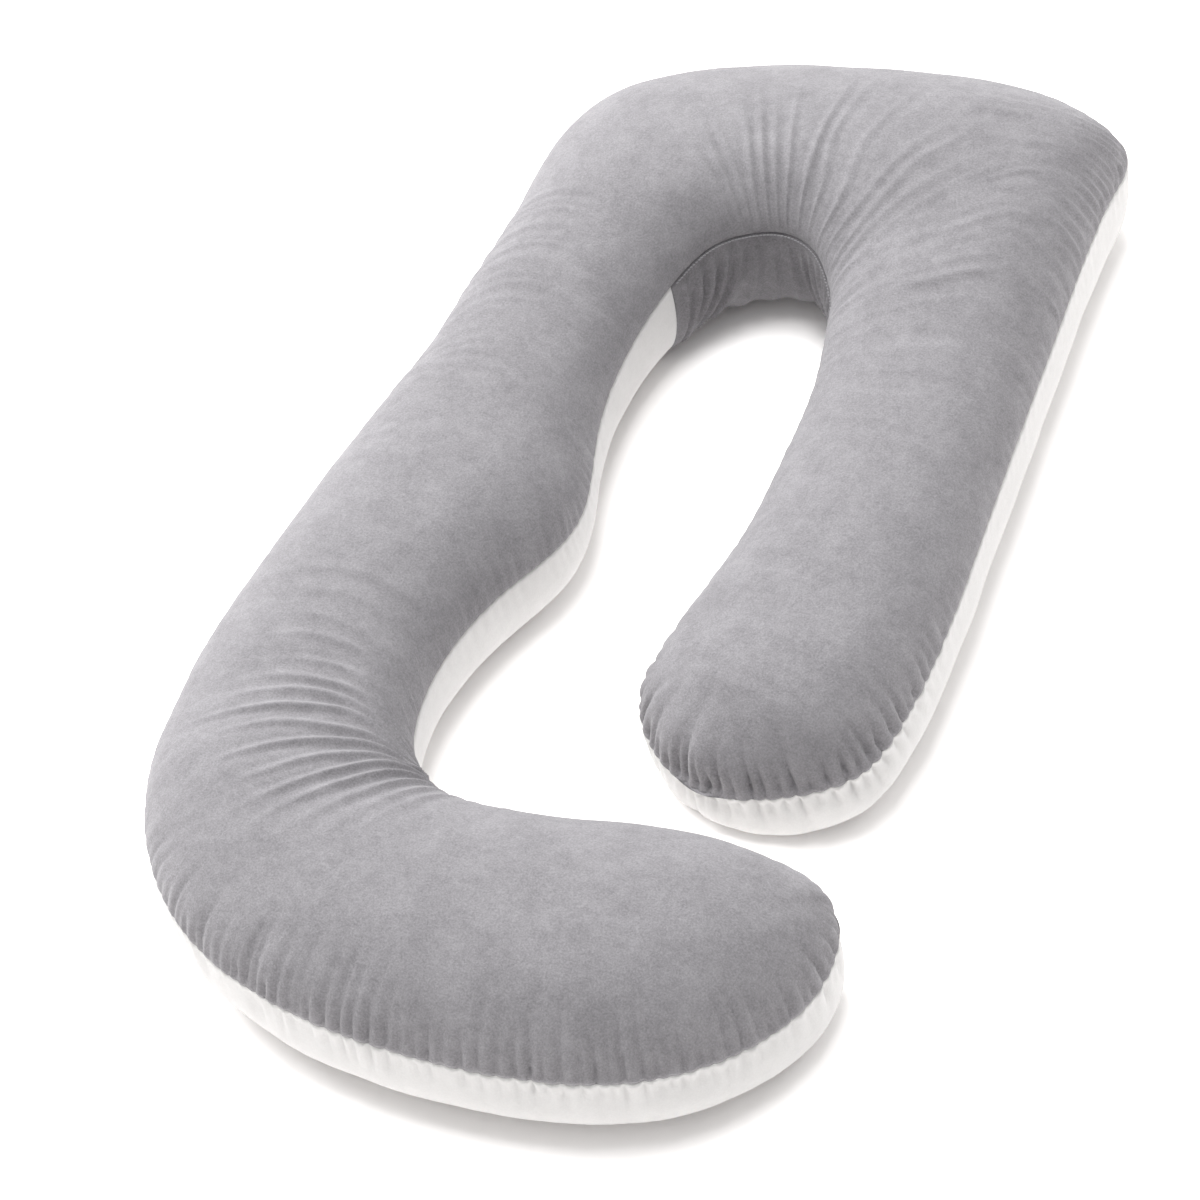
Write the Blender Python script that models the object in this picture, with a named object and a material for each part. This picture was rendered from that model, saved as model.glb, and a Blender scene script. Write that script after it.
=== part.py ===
"""Body pillow: a long arm with a hook at one end, a round neck at the other, and a shorter second arm.

The pillow lies flat. A side seam runs all round it, a little above half height, and parts the grey
top panel from the white bottom panel. An upright grey gusset lines the inner wall of the neck.
Metres, +Z up, origin on the floor below the middle of the pillow, neck towards +Y.
"""
from collections import namedtuple

import bmesh
import bpy
import numpy as np

# How full the pillow is.
FULL_HALF_WIDTH = 0.141   # half the width of the pillow where it is filled to its full crown
CROWN_RISE = 0.079        # height of that crown above the seams
NARROW_POWER = 0.64       # how fast the crown falls where the pillow is narrower
WIDE_SHARE = 0.35         # how much of its extra width a wider stretch gains in crown

# How round its cross-section is: powers of the sine and cosine, where 1 is an ellipse.
CROWN_ACROSS = 0.88
CROWN_UP = 0.96
UNDERSIDE_ACROSS = 0.48
UNDERSIDE_DOWN = 0.60
UNDERSIDE_SAG = 1.03      # the weight presses the underside flat beyond this share of its depth
RESTING_HALF_WIDTH = 0.09  # a narrower stretch, near the two ends, lifts off the floor
LIFT_POWER = 0.35

# The panels.
PANEL_GAP = 0.0003        # clearance between neighbouring panels
GUSSET_DEPTH = 0.015      # how far the gusset's share of the filling reaches into the pillow
GUSSET_END_STEP = 0.012   # in ribs: about half a millimetre of clearance at its upright end seams

# How finely the solids are cut.
SECTIONS_PER_RIB = 3
END_SECTIONS = 6          # extra sections that round off each end
CROWN_STEPS = 16
UNDERSIDE_STEPS = 14
PARTING_ACROSS = (0.6, 0.1, -0.4, -0.82)

# The side seam. Each rib crosses the pillow from the seam's outer side to its inner side, and gives
# the seam's place and height at both. They run from the hook's end, round the outside of the hook,
# up the long arm, round the neck and down the short arm.
Rib = namedtuple("Rib", "outer_x outer_y outer_z inner_x inner_y inner_z")
RIBS = [
    Rib(0.380, -0.550, 0.100, 0.300, -0.395, 0.110),
    Rib(0.290, -0.665, 0.110, 0.180, -0.390, 0.110),
    Rib(0.155, -0.715, 0.115, 0.085, -0.405, 0.110),
    Rib(0.005, -0.725, 0.120, 0.015, -0.415, 0.110),
    Rib(-0.130, -0.705, 0.120, -0.040, -0.415, 0.110),
    Rib(-0.250, -0.650, 0.115, -0.075, -0.405, 0.110),
    Rib(-0.335, -0.560, 0.115, -0.105, -0.380, 0.110),
    Rib(-0.380, -0.445, 0.110, -0.130, -0.335, 0.110),
    Rib(-0.390, -0.305, 0.110, -0.140, -0.245, 0.110),
    Rib(-0.380, -0.165, 0.110, -0.115, -0.130, 0.110),
    Rib(-0.365, -0.025, 0.110, -0.080, -0.015, 0.105),
    Rib(-0.345, 0.115, 0.110, -0.110, 0.115, 0.105),
    Rib(-0.330, 0.250, 0.115, -0.120, 0.235, 0.115),
    Rib(-0.325, 0.380, 0.115, -0.105, 0.325, 0.130),
    Rib(-0.325, 0.500, 0.110, -0.080, 0.375, 0.145),
    Rib(-0.280, 0.600, 0.110, -0.050, 0.400, 0.150),
    Rib(-0.150, 0.680, 0.105, -0.015, 0.415, 0.150),
    Rib(0.030, 0.720, 0.105, 0.015, 0.415, 0.145),
    Rib(0.200, 0.720, 0.110, 0.040, 0.400, 0.140),
    Rib(0.305, 0.675, 0.110, 0.060, 0.375, 0.130),
    Rib(0.320, 0.600, 0.120, 0.075, 0.345, 0.120),
    Rib(0.325, 0.485, 0.130, 0.085, 0.300, 0.115),
    Rib(0.335, 0.335, 0.130, 0.095, 0.240, 0.110),
    Rib(0.345, 0.185, 0.130, 0.100, 0.160, 0.105),
    Rib(0.355, 0.035, 0.125, 0.100, 0.050, 0.100),
    Rib(0.360, -0.105, 0.115, 0.085, -0.055, 0.090),
    Rib(0.350, -0.210, 0.105, 0.065, -0.140, 0.080),
    Rib(0.305, -0.270, 0.090, 0.065, -0.215, 0.060),
]
HOOK_END = (0.380, -0.440, 0.105)
ARM_END = (0.170, -0.295, 0.065)
LAST = len(RIBS) + 1      # rib number of the short arm's end; the hook's end is number 0
GUSSET_FIRST = 14         # rib numbers of the gusset's two upright end seams
GUSSET_LAST = 22
GUSSET_MIDDLE = (GUSSET_FIRST + GUSSET_LAST) / 2

GREY_VELOUR = ((0.30, 0.295, 0.305, 1.0), 0.90)
GREY_GUSSET = ((0.22, 0.215, 0.225, 1.0), 0.90)
WHITE_VELOUR = ((0.86, 0.85, 0.84, 1.0), 0.85)


def closed_spline(points):
    """The smooth closed curve that passes through evenly numbered points, as a function of the number."""
    points = np.asarray(points, float)
    count = len(points)
    ahead = np.roll(points, -1, axis=0)
    behind = np.roll(points, 1, axis=0)
    circle = 4 * np.eye(count) + np.roll(np.eye(count), 1, axis=0) + np.roll(np.eye(count), -1, axis=0)
    bend = np.linalg.solve(circle, 6 * (ahead - 2 * points + behind))

    def curve(number):
        number = np.asarray(number, float) % count
        first = np.floor(number).astype(int) % count
        second = (first + 1) % count
        t = (number - np.floor(number))[:, None]
        s = 1 - t
        return (s * points[first] + t * points[second]
                + (s ** 3 - s) / 6 * bend[first] + (t ** 3 - t) / 6 * bend[second])

    return curve


def side_seam():
    """The seam all round the pillow, centred over the origin."""
    outer = [rib[:3] for rib in RIBS]
    inner = [rib[3:] for rib in RIBS]
    points = np.array([HOOK_END] + outer + [ARM_END] + inner[::-1])
    rough = closed_spline(points)(np.linspace(0, len(points), 40 * len(points)))
    points[:, :2] -= (rough[:, :2].min(axis=0) + rough[:, :2].max(axis=0)) / 2
    return closed_spline(points)


SEAM = side_seam()


def rail_points(number):
    """The seam's outer and inner point at a rib number, which may lie between two ribs."""
    number = np.array([float(number)])
    return SEAM(number)[0], SEAM(2 * LAST - number)[0]


def fullness(half_width):
    """Share of the full crown that a stretch of this half-width is filled to."""
    share = half_width / FULL_HALF_WIDTH
    if share < 1:
        return share ** NARROW_POWER
    return 1 + WIDE_SHARE * (share - 1)


def section_point(outer, inner, across, up):
    """A point of one cross-section: across runs from -1 at the inner seam to 1 at the outer one."""
    share = (1 + across) / 2
    point = outer * share + inner * (1 - share)
    return np.array([point[0], point[1], point[2] + up])


def crown_points(number):
    """Over the crown of one cross-section, from the inner seam to the outer one."""
    outer, inner = rail_points(number)
    half_width = np.linalg.norm((outer - inner)[:2]) / 2
    rise = CROWN_RISE * fullness(half_width)
    points = []
    for step in range(CROWN_STEPS + 1):
        angle = np.pi * (1 - step / CROWN_STEPS)
        across = np.sign(np.cos(angle)) * abs(np.cos(angle)) ** CROWN_ACROSS
        points.append(section_point(outer, inner, across, rise * abs(np.sin(angle)) ** CROWN_UP))
    return points


def underside_points(number, inset=0.0):
    """Under one cross-section, from the inner seam to the outer one, its inner wall set back by inset."""
    outer, inner = rail_points(number)
    half_width = np.linalg.norm((outer - inner)[:2]) / 2
    sink = UNDERSIDE_SAG * min(half_width / RESTING_HALF_WIDTH, 1) ** LIFT_POWER
    points = []
    for step in range(UNDERSIDE_STEPS + 1):
        angle = np.pi * (1 - step / UNDERSIDE_STEPS)
        across = np.sign(np.cos(angle)) * abs(np.cos(angle)) ** UNDERSIDE_ACROSS
        if across < 0:
            across -= across * inset / half_width
        point = section_point(outer, inner, across, 0)
        point[2] *= max(0, 1 - sink * abs(np.sin(angle)) ** UNDERSIDE_DOWN)
        points.append(point)
    return points


def parting_points(number):
    """Where the two panels meet inside one cross-section, from near its outer seam to near its inner one."""
    outer, inner = rail_points(number)
    return [section_point(outer, inner, across, 0) for across in PARTING_ACROSS]


def between(first, last):
    """Rib numbers of the sections from one rib to another, both included."""
    return list(np.linspace(first, last, SECTIONS_PER_RIB * (last - first) + 1))


def section_numbers():
    """Rib numbers of all sections: crowded at the two ends, and doubled at the gusset's end seams."""
    ends = [(step / (END_SECTIONS + 1)) ** 2 for step in range(1, END_SECTIONS + 1)]
    seams = [GUSSET_FIRST - step * GUSSET_END_STEP for step in (1, 2)]
    seams += [GUSSET_LAST + step * GUSSET_END_STEP for step in (1, 2)]
    return sorted(ends + between(1, LAST - 1) + seams + [LAST - end for end in ends])


def lift(points, height):
    """The same points, a little higher."""
    return [point + np.array([0, 0, height]) for point in points]


def panel_object(name, rings, ends, finish, turn_last):
    """One closed solid through rings of points, each end closed by a point or, where it is None, flat.

    Neighbouring panels part along the same triangles. For that, turn_last cuts the last strip of
    quads, which lies over the gusset, along its other diagonal.
    """
    colour, roughness = finish
    mesh = bmesh.new()
    loops = [[mesh.verts.new(point) for point in ring] for ring in rings]
    for ring, following in zip(loops, loops[1:]):
        for here in range(len(ring)):
            there = (here + 1) % len(ring)
            if turn_last and there == 0:
                mesh.faces.new((ring[here], following[here], ring[there]))
                mesh.faces.new((following[here], following[there], ring[there]))
            else:
                mesh.faces.new((ring[here], following[here], following[there]))
                mesh.faces.new((ring[here], following[there], ring[there]))
    for loop, end in ((loops[0], ends[0]), (loops[-1], ends[1])):
        if end is not None:
            tip = mesh.verts.new(end)
            for here in range(len(loop)):
                mesh.faces.new((loop[here], loop[(here + 1) % len(loop)], tip))
        else:
            half = len(loop) // 2
            for here in range(half - 1):
                mesh.faces.new((loop[here], loop[here + 1], loop[-2 - here], loop[-1 - here]))
    bmesh.ops.recalc_face_normals(mesh, faces=mesh.faces)
    bmesh.ops.triangulate(mesh, faces=mesh.faces)
    data = bpy.data.meshes.new(name)
    mesh.to_mesh(data)
    mesh.free()
    data.shade_smooth()
    material = bpy.data.materials.new(name + "_velour")
    material.use_nodes = True
    shader = material.node_tree.nodes["Principled BSDF"]
    shader.inputs["Base Color"].default_value = colour
    shader.inputs["Roughness"].default_value = roughness
    shader.inputs["Metallic"].default_value = 0.0
    data.materials.append(material)
    panel = bpy.data.objects.new(name, data)
    bpy.context.collection.objects.link(panel)
    return panel


def tips(height):
    """The two ends of the pillow, where all sections shrink to a point on the seam."""
    return [rail_points(number)[0] + np.array([0, 0, height]) for number in (0, LAST)]


def make_top_panel():
    """Grey velour over the crown, from seam to seam."""
    rings = []
    for number in section_numbers():
        rings.append(lift(crown_points(number) + parting_points(number), PANEL_GAP / 2))
    return panel_object("top_panel", rings, tips(PANEL_GAP / 2), GREY_VELOUR, True)


def make_bottom_panel():
    """White velour below the seam, flat where it rests, its wall set back behind the gusset."""
    rings = []
    for number in section_numbers():
        beside_gusset = abs(number - GUSSET_MIDDLE) < GUSSET_MIDDLE - GUSSET_FIRST + 1.5 * GUSSET_END_STEP
        inset = GUSSET_DEPTH + PANEL_GAP if beside_gusset else 0.0
        ring = underside_points(number, inset) + parting_points(number)
        rings.append([point - np.array([0, 0, min(PANEL_GAP / 2, point[2])]) for point in ring])
    return panel_object("bottom_panel", rings, tips(-PANEL_GAP / 2), WHITE_VELOUR, True)


def make_neck_gusset():
    """Grey velour strip upright in the inner wall of the neck, from the top panel's seam to the floor."""
    rings = []
    for number in between(GUSSET_FIRST, GUSSET_LAST):
        wall = underside_points(number)
        back = underside_points(number, GUSSET_DEPTH)
        foot = next(step for step, point in enumerate(wall) if point[2] <= 0)
        ring = back[:foot + 1] + wall[foot::-1]
        rings.append([point - np.array([0, 0, min(PANEL_GAP / 2, point[2])]) for point in ring])
    return panel_object("neck_gusset", rings, (None, None), GREY_GUSSET, False)


for leftover in list(bpy.data.objects):
    bpy.data.objects.remove(leftover)
make_top_panel()
make_bottom_panel()
make_neck_gusset()
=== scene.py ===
from collections import namedtuple

import bpy
import numpy as np
from mathutils import Matrix, Vector
from mathutils.kdtree import KDTree


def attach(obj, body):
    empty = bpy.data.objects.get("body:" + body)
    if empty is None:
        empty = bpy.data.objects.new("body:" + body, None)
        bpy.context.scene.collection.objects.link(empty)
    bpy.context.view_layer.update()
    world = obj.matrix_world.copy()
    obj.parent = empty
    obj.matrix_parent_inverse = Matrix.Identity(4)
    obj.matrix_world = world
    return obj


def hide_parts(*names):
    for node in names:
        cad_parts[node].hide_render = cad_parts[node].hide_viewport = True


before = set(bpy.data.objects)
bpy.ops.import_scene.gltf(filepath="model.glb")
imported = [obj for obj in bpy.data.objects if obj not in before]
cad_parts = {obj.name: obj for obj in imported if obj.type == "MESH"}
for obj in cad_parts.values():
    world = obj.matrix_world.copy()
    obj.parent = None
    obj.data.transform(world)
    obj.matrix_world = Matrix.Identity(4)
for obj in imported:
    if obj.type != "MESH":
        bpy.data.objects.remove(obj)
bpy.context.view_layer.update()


# ---------------------------------------------------------------------------------------------
# Top panel.
# One piece of grey polyester velour, cut to the pillow's outline and larger than it, so that the
# loose fibre filling can crown it. It is sewn to the white panel along the side seam and gathers
# there. In the tight bend of the hook and over the neck the spare cloth lies in fans of creases.

# The side seam. Each rib crosses the pillow from the seam's outer side to its inner side. They run
# from the hook's end round the outside of the hook, up the long arm, round the neck and down the
# short arm. A place on the panels is its rib number and how far across it is, from -1 to 1.
Rib = namedtuple("Rib", "outer_x outer_y outer_z inner_x inner_y inner_z")
RIBS = [
    Rib(0.380, -0.550, 0.100, 0.300, -0.395, 0.110),
    Rib(0.290, -0.665, 0.110, 0.180, -0.390, 0.110),
    Rib(0.155, -0.715, 0.115, 0.085, -0.405, 0.110),
    Rib(0.005, -0.725, 0.120, 0.015, -0.415, 0.110),
    Rib(-0.130, -0.705, 0.120, -0.040, -0.415, 0.110),
    Rib(-0.250, -0.650, 0.115, -0.075, -0.405, 0.110),
    Rib(-0.335, -0.560, 0.115, -0.105, -0.380, 0.110),
    Rib(-0.380, -0.445, 0.110, -0.130, -0.335, 0.110),
    Rib(-0.390, -0.305, 0.110, -0.140, -0.245, 0.110),
    Rib(-0.380, -0.165, 0.110, -0.115, -0.130, 0.110),
    Rib(-0.365, -0.025, 0.110, -0.080, -0.015, 0.105),
    Rib(-0.345, 0.115, 0.110, -0.110, 0.115, 0.105),
    Rib(-0.330, 0.250, 0.115, -0.120, 0.235, 0.115),
    Rib(-0.325, 0.380, 0.115, -0.105, 0.325, 0.130),
    Rib(-0.325, 0.500, 0.110, -0.080, 0.375, 0.145),
    Rib(-0.280, 0.600, 0.110, -0.050, 0.400, 0.150),
    Rib(-0.150, 0.680, 0.105, -0.015, 0.415, 0.150),
    Rib(0.030, 0.720, 0.105, 0.015, 0.415, 0.145),
    Rib(0.200, 0.720, 0.110, 0.040, 0.400, 0.140),
    Rib(0.305, 0.675, 0.110, 0.060, 0.375, 0.130),
    Rib(0.320, 0.600, 0.120, 0.075, 0.345, 0.120),
    Rib(0.325, 0.485, 0.130, 0.085, 0.300, 0.115),
    Rib(0.335, 0.335, 0.130, 0.095, 0.240, 0.110),
    Rib(0.345, 0.185, 0.130, 0.100, 0.160, 0.105),
    Rib(0.355, 0.035, 0.125, 0.100, 0.050, 0.100),
    Rib(0.360, -0.105, 0.115, 0.085, -0.055, 0.090),
    Rib(0.350, -0.210, 0.105, 0.065, -0.140, 0.080),
    Rib(0.305, -0.270, 0.090, 0.065, -0.215, 0.060),
]
HOOK_END = (0.380, -0.440, 0.105)
ARM_END = (0.170, -0.295, 0.065)
LAST = len(RIBS) + 1      # rib number of the short arm's end; the hook's end is number 0
PANEL_GAP = 0.0003        # clearance between neighbouring panels
TIP_SECTIONS = 8          # extra sections at each end, ever closer to its tip, so that it closes round


def closed_spline(points):
    """The smooth closed curve that passes through evenly numbered points, as a function of the number."""
    count = len(points)
    ahead = np.roll(points, -1, axis=0)
    behind = np.roll(points, 1, axis=0)
    circle = 4 * np.eye(count) + np.roll(np.eye(count), 1, axis=0) + np.roll(np.eye(count), -1, axis=0)
    bend = np.linalg.solve(circle, 6 * (ahead - 2 * points + behind))

    def curve(number):
        number = np.asarray(number, float) % count
        first = np.floor(number).astype(int) % count
        second = (first + 1) % count
        t = (number - np.floor(number))[..., None]
        s = 1 - t
        return (s * points[first] + t * points[second]
                + (s ** 3 - s) / 6 * bend[first] + (t ** 3 - t) / 6 * bend[second])

    return curve


def side_seam():
    """The seam all round the pillow, centred over the origin."""
    outer = [rib[:3] for rib in RIBS]
    inner = [rib[3:] for rib in RIBS]
    points = np.array([HOOK_END] + outer + [ARM_END] + inner[::-1])
    rough = closed_spline(points)(np.linspace(0, len(points), 40 * len(points)))
    points[:, :2] -= (rough[:, :2].min(axis=0) + rough[:, :2].max(axis=0)) / 2
    return closed_spline(points)


SEAM = side_seam()

# Shape of the crown, the same as the solid's that the panel stands for.
FULL_HALF_WIDTH = 0.141   # half the width of the pillow where it is filled to its full crown
CROWN_RISE = 0.079        # height of that crown above the seams
NARROW_POWER = 0.64       # how fast the crown falls where the pillow is narrower
WIDE_SHARE = 0.35         # how much of its extra width a wider stretch gains in crown
CROWN_ACROSS = 0.88       # powers of the cosine and sine, where 1 is an ellipse
CROWN_UP = 0.96


def rails(numbers):
    """The seam's outer and inner points at rib numbers, and half the distance between them."""
    outer = SEAM(numbers)
    inner = SEAM(2 * LAST - numbers)
    return outer, inner, np.linalg.norm((outer - inner)[:, :2], axis=1) / 2


def across_points(outer, inner, across):
    """Points on the straight lines from the inner seam to the outer one, a row for each section."""
    share = (1 + across[..., None]) / 2
    return outer[:, None] * share + inner[:, None] * (1 - share)


def crown_rows(numbers, angles):
    """Points over the crown, a row for each section from the inner seam to the outer one."""
    outer, inner, half_width = rails(numbers)
    share = half_width / FULL_HALF_WIDTH
    full = np.where(share < 1, share ** NARROW_POWER, 1 + WIDE_SHARE * (share - 1))
    across = np.sign(np.cos(angles)) * abs(np.cos(angles)) ** CROWN_ACROSS
    points = across_points(outer, inner, np.broadcast_to(across, (len(numbers), len(angles))))
    points[..., 2] += CROWN_RISE * full[:, None] * np.sin(angles) ** CROWN_UP
    return points, across


def even_sections(count, denser=()):
    """Rib numbers of sections evenly spaced along the pillow, and closer in the stretches named."""
    fine = np.linspace(0, LAST, 6000)
    outer, inner, _ = rails(fine)
    pace = np.linalg.norm(np.gradient(0.6 * outer, axis=0), axis=1)
    pace += np.linalg.norm(np.gradient(0.4 * inner, axis=0), axis=1)
    for first, last, times in denser:
        pace *= 1 + (times - 1) * soft_step(fine, first - 0.5, first) * soft_step(-fine, -last - 0.5, -last)
    travelled = np.concatenate([[0], np.cumsum(pace[1:])])
    even = np.interp(np.linspace(0, travelled[-1], count + 2)[1:-1], travelled, fine)
    closer = (np.arange(1, TIP_SECTIONS + 1) / (TIP_SECTIONS + 1)) ** 2
    return np.concatenate([even[0] * closer, even, LAST - (LAST - even[-1]) * closer[::-1]])


def soft_step(value, low, high):
    """0 below low, 1 above high, and a smooth rise between them."""
    t = np.clip((value - low) / (high - low), 0, 1)
    return t * t * (3 - 2 * t)


# Gathers all round the side seam: short valleys that run from the seam into both panels. A
# station gives what they are like at one place on the seam, which is numbered like the ribs on its
# outer side and goes on to twice that on its inner side. Millimetres; lean is how far along the
# seam a gather runs for its length.
Station = namedtuple("Station", "number spacing length depth lean")
GATHER_STATIONS = [
    Station(0.0, 17, 42, 4.6, 0.0),      # the hook's end
    Station(1.2, 16, 52, 7.6, 0.0),
    Station(2.5, 16, 56, 8.0, 0.0),
    Station(4.2, 15, 54, 8.0, 0.0),
    Station(5.4, 14, 48, 7.0, 0.0),
    Station(6.0, 14, 42, 5.4, 0.0),
    Station(6.6, 17, 48, 2.8, 0.1),
    Station(8.0, 22, 34, 1.2, 0.0),      # outside of the long arm
    Station(12.0, 22, 36, 1.2, 0.0),
    Station(13.2, 16, 44, 1.6, -0.2),
    Station(14.6, 20, 40, 1.2, 0.0),
    Station(17.5, 22, 36, 1.0, 0.0),     # outside of the neck
    Station(19.3, 17, 44, 2.2, 0.0),
    Station(20.4, 14, 50, 4.0, 0.2),
    Station(22.0, 15, 50, 3.6, 0.2),
    Station(23.4, 18, 44, 2.0, 0.1),
    Station(25.2, 20, 36, 1.6, 0.0),
    Station(26.0, 19, 44, 6.0, 0.2),     # the short arm's end
    Station(27.2, 18, 48, 13.0, 0.1),
    Station(28.2, 18, 46, 14.0, 0.0),
    Station(29.0, 18, 48, 14.0, 0.0),
    Station(30.4, 17, 48, 9.0, 0.0),
    Station(31.8, 20, 36, 2.4, 0.0),     # inside of the short arm
    Station(35.5, 24, 30, 0.8, 0.0),
    Station(38.0, 18, 34, 1.0, 0.0),     # the neck's inside
    Station(44.0, 18, 34, 1.0, 0.0),
    Station(46.0, 20, 40, 1.6, 0.0),
    Station(47.0, 14, 54, 3.2, 0.2),     # the swell of the long arm
    Station(48.2, 15, 46, 2.6, 0.1),
    Station(49.5, 22, 30, 0.9, 0.0),
    Station(52.0, 20, 30, 1.2, 0.0),     # the hook's inside
    Station(55.0, 24, 30, 0.8, 0.0),
    Station(57.2, 18, 38, 1.2, 0.0),
    Station(58.0, 17, 42, 4.6, 0.0),
]
SEAM_STEPS = 6000         # points along the seam that places on the panels are measured from
SEAM_DIP = 0.0018         # how far the seam is drawn in by its thread
SEAM_DIP_WIDTH = 0.0032

random = np.random.default_rng(7)
seam_numbers = np.linspace(0, 2 * LAST, SEAM_STEPS, endpoint=False)
seam_line = SEAM(seam_numbers)
seam_gaps = np.linalg.norm(np.roll(seam_line, -1, axis=0) - seam_line, axis=1)
seam_places = np.concatenate([[0], np.cumsum(seam_gaps)[:-1]])
seam_length = seam_gaps.sum()
seam_along = np.roll(seam_line, -1, axis=0) - np.roll(seam_line, 1, axis=0)
seam_out = np.stack([seam_along[:, 1], -seam_along[:, 0], 0 * seam_along[:, 0]], axis=1)
seam_out /= np.linalg.norm(seam_out, axis=1)[:, None]
if ((seam_line[0] - seam_line[len(seam_line) // 20]) * seam_out[0]).sum() < 0:
    seam_out = -seam_out
seam_finder = KDTree(SEAM_STEPS)
for step, point in enumerate(seam_line):
    seam_finder.insert(point, step)
seam_finder.balance()


def at_stations(places, column):
    """What the gather stations say in one column, at places along the seam in metres."""
    stations = [getattr(station, column) for station in GATHER_STATIONS]
    numbers = [station.number for station in GATHER_STATIONS]
    here = np.interp(places % seam_length, seam_places, seam_numbers)
    return np.interp(here, numbers, stations)


def scattered_gathers():
    """Place, depth, length and width of every gather, unevenly spaced round the seam."""
    gathers = []
    place = 0.0
    while place < seam_length:
        spacing = 0.001 * float(at_stations(np.array([place]), "spacing")[0])
        depth = 0.001 * float(at_stations(np.array([place]), "depth")[0])
        length = 0.001 * float(at_stations(np.array([place]), "length")[0])
        gathers.append((place, depth * random.uniform(0.6, 1.25), length * random.uniform(0.6, 1.3),
                        spacing * random.uniform(0.19, 0.27)))
        place += spacing * random.uniform(0.75, 1.3)
    return gathers


GATHERS = scattered_gathers()
GATHER_HELD = 0.3         # share of its depth that a gather has in the seam itself, where thread holds it
GATHER_FREE = 0.010       # distance from the seam at which it has its whole depth
GATHER_FLARE = 0.8        # how much wider it is at its far end, as a share of its width
GATHER_SHARPNESS = 1.2    # power of its cross-section: 1 is a sharp valley, 2 a round one


def nearest_seam(points):
    """For each point, the nearest step along the seam and the distance to it."""
    found = [seam_finder.find(point) for point in points]
    return np.array([hit[1] for hit in found]), np.array([hit[2] for hit in found])


def gathered(places, distances, share):
    """Depth of the gathers at places along the seam and distances from it."""
    leaning = places + at_stations(places, "lean") * distances
    sunk = np.zeros(len(places))
    for place, depth, length, width in GATHERS:
        apart = (leaning - place + seam_length / 2) % seam_length - seam_length / 2
        near = np.flatnonzero((abs(apart) < 4 * width) & (distances < 2.4 * length * share))
        away = distances[near] / (length * share)
        held = GATHER_HELD + (1 - GATHER_HELD) * soft_step(distances[near], 0, GATHER_FREE)
        spread = width * (1 + GATHER_FLARE * away)
        valley = np.exp(-(abs(apart[near]) / spread) ** GATHER_SHARPNESS)
        sunk[near] += depth * held * np.exp(-away ** 2) * valley
    return sunk


# Creases that run across the pillow. Each is a soft ridge through four places: its rib number near
# the inner seam, at 0.9 of the way to it, then at 0.75, at half way, and on the middle line. It
# starts by that seam and fades out at stop. Heights and widths in millimetres.
Crease = namedtuple("Crease", "near bend half middle stop height width")
HOOK_FAN = [
    Crease(3.98, 4.10, 4.22, 4.32, -0.30, 0.8, 8),
    Crease(4.55, 4.64, 4.72, 4.80, -0.30, 1.2, 8),
    Crease(4.92, 5.06, 5.18, 5.25, -0.10, 1.9, 7),
    Crease(5.36, 5.42, 5.47, 5.50, 0.00, 2.2, 7),
    Crease(5.72, 5.79, 5.84, 5.88, 0.15, 2.8, 6),
    Crease(5.98, 6.12, 6.19, 6.22, 0.25, 3.8, 5),
    Crease(6.26, 6.40, 6.48, 6.50, 0.30, 4.0, 4.5),
    Crease(6.40, 6.57, 6.79, 6.84, 0.35, 3.6, 4.5),
    Crease(6.50, 6.83, 7.10, 7.24, 0.45, 4.4, 4.5),
    Crease(6.68, 7.06, 7.38, 7.63, 0.35, 4.2, 4.5),
    Crease(6.85, 7.42, 7.75, 7.89, 0.70, 4.2, 4.5),
    Crease(7.25, 7.66, 7.97, 8.11, 0.50, 3.1, 4.5),
    Crease(7.45, 7.88, 8.15, 8.30, 0.30, 3.1, 4.5),
    Crease(7.72, 8.11, 8.38, 8.50, 0.20, 2.6, 4.5),
    Crease(8.11, 8.43, 8.66, 8.80, 0.35, 2.3, 5),
    Crease(8.42, 8.64, 8.84, 9.02, 0.50, 1.9, 5.5),
    Crease(8.75, 8.95, 9.14, 9.30, 0.45, 1.4, 7),
    Crease(9.15, 9.30, 9.44, 9.56, 0.30, 1.0, 8),
]
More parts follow.
